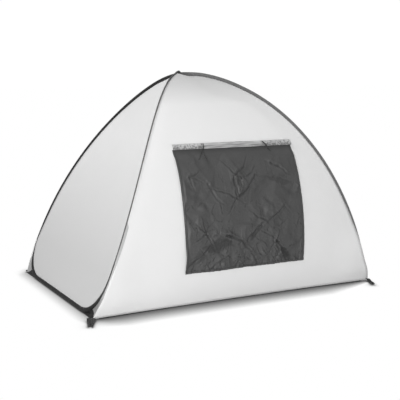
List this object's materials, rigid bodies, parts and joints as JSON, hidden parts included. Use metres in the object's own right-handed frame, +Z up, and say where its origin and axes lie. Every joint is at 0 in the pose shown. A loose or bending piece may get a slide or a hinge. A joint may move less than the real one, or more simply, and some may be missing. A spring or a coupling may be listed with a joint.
{
  "type": "pop-up tent enclosure",
  "caption": "Self-opening fabric tent that encloses a desktop 3D printer, with crossed spring hoops, a covered front window, a zipped rear door and corner stake loops.",
  "frame": {"origin": "on the ground under the middle of the rectangle between the four fabric corners", "axes": "+Z up, -Y towards the front panel with the covered window, +X to the right seen from the front"},
  "size_m": [1.2918, 0.97, 0.8631],
  "materials": {
    "spring_steel": "oiled flat spring wire",
    "binding_tape": "woven black-grey polyester binding, dull",
    "ferrule_brass": "crimped tube",
    "end_fabric": "taut plain-weave grey polyester",
    "gusset_fabric": "plain-weave grey polyester",
    "webbing": "ribbed black webbing",
    "silver_white_fabric": "white satin-faced polyester, coated",
    "floor_fabric": "coated oxford, dull",
    "clear_film": "clear flexible film",
    "flap_nylon": "thin crumpled ripstop nylon, slight sheen",
    "flap_header_nylon": "same nylon, folded double, brighter sheen",
    "tie_tape": "narrow woven tape",
    "zip_tape": "woven zip tape with coil",
    "zip_metal": "cast slider, dark plated",
    "zip_pull": "moulded pull tab"
  },
  "bodies": {
    "left_frame": {"spring_rod_left": "spring_steel", "hoop_sleeve_left": "binding_tape", "rod_ferrule_left": "ferrule_brass", "end_panel_left": "end_fabric", "corner_gusset_front_left": "gusset_fabric", "corner_gusset_back_left": "gusset_fabric"},
    "right_frame": {"spring_rod_right": "spring_steel", "hoop_sleeve_right": "binding_tape", "rod_ferrule_right": "ferrule_brass", "end_panel_right": "end_fabric", "corner_gusset_front_right": "gusset_fabric", "corner_gusset_back_right": "gusset_fabric"},
    "canopy": {"front_panel": "silver_white_fabric", "back_panel": "silver_white_fabric", "groundsheet": "floor_fabric", "hem_piping_front": "binding_tape", "hem_piping_back": "binding_tape", "crossing_wrap": "binding_tape", "window_film": "clear_film", "window_trim": "binding_tape", "flap_header": "flap_header_nylon", "zip_tape_frame": "zip_tape"},
    "window_flap": {"window_flap": "flap_nylon"},
    "flap_tie_left": {"flap_tie_left": "tie_tape"},
    "flap_tie_right": {"flap_tie_right": "tie_tape"},
    "door": {"door_panel": "silver_white_fabric", "zip_tape_door": "zip_tape"},
    "zip_slider_left": {"zip_slider_left": "zip_metal"},
    "zip_slider_right": {"zip_slider_right": "zip_metal"},
    "zip_pull_left": {"zip_pull_left": "zip_pull"},
    "zip_pull_right": {"zip_pull_right": "zip_pull"},
    "stake_loop_front_left": {"stake_loop_front_left": "webbing"},
    "stake_loop_front_right": {"stake_loop_front_right": "webbing"},
    "stake_loop_back_left": {"stake_loop_back_left": "webbing"},
    "stake_loop_back_right": {"stake_loop_back_right": "webbing"}
  },
  "joints": [
    {"name": "frame_fold", "type": "hinge", "parent": "left_frame", "child": "right_frame", "pos_m": [0, 0.13, 0.8315], "axis": [0, 1, 0], "range_deg": [0, 62], "deforming": ["front_panel", "back_panel", "groundsheet", "hem_piping_front", "hem_piping_back", "crossing_wrap", "window_film", "window_trim", "flap_header", "zip_tape_frame", "window_flap", "flap_tie_left", "flap_tie_right", "door_panel", "zip_tape_door"]},
    {"name": "canopy_follow", "type": "hinge", "parent": "left_frame", "child": "canopy", "pos_m": [0, 0.13, 0.8315], "axis": [0, 1, 0], "range_deg": [0, 31]},
    {"name": "window_flap_lift", "type": "hinge", "parent": "canopy", "child": "window_flap", "pos_m": [0, -0.32815, 0.56939], "axis": [-1, 0, 0], "range_deg": [0, 150]},
    {"name": "door_swing", "type": "hinge", "parent": "canopy", "child": "door", "pos_m": [0, 0.39179, 0.062], "axis": [-1, 0, 0], "range_deg": [0, 85]},
    {"name": "flap_tie_left_lift", "type": "hinge", "parent": "canopy", "child": "flap_tie_left", "pos_m": [-0.126, -0.31934, 0.58726], "axis": [-1, 0, 0], "range_deg": [0, 150]},
    {"name": "flap_tie_right_lift", "type": "hinge", "parent": "canopy", "child": "flap_tie_right", "pos_m": [0.134, -0.31934, 0.58726], "axis": [-1, 0, 0], "range_deg": [0, 150]},
    {"name": "zip_slider_left_travel", "type": "slide", "parent": "canopy", "child": "zip_slider_left", "axis": [1, 0, 0], "range_m": [-0.135, 0]},
    {"name": "zip_pull_left_swing", "type": "hinge", "parent": "zip_slider_left", "child": "zip_pull_left", "pos_m": [-0.0095, 0.33336, 0.58791], "axis": [1, 0, 0], "range_deg": [0, 120]},
    {"name": "zip_slider_right_travel", "type": "slide", "parent": "canopy", "child": "zip_slider_right", "axis": [-1, 0, 0], "range_m": [-0.135, 0]},
    {"name": "zip_pull_right_swing", "type": "hinge", "parent": "zip_slider_right", "child": "zip_pull_right", "pos_m": [0.0095, 0.33336, 0.58791], "axis": [1, 0, 0], "range_deg": [0, 120]},
    {"name": "stake_loop_front_left_lift", "type": "hinge", "parent": "left_frame", "child": "stake_loop_front_left", "pos_m": [-0.606, -0.4015, 0.0075], "axis": [-0.922, 0.3872, 0], "range_deg": [0, 80]},
    {"name": "stake_loop_front_right_lift", "type": "hinge", "parent": "right_frame", "child": "stake_loop_front_right", "pos_m": [0.606, -0.4015, 0.0075], "axis": [-0.9119, 0.4104, 0], "range_deg": [0, 80]},
    {"name": "stake_loop_back_left_lift", "type": "hinge", "parent": "left_frame", "child": "stake_loop_back_left", "pos_m": [-0.592, 0.4035, 0.0075], "axis": [0.8, -0.6, 0], "range_deg": [0, 80]},
    {"name": "stake_loop_back_right_lift", "type": "hinge", "parent": "right_frame", "child": "stake_loop_back_right", "pos_m": [0.606, 0.4015, 0.0075], "axis": [0.922, -0.3872, 0], "range_deg": [0, 80]}
  ],
  "couplings": [
    {"joint": "canopy_follow", "follows": "frame_fold", "ratio": 0.5}
  ]
}
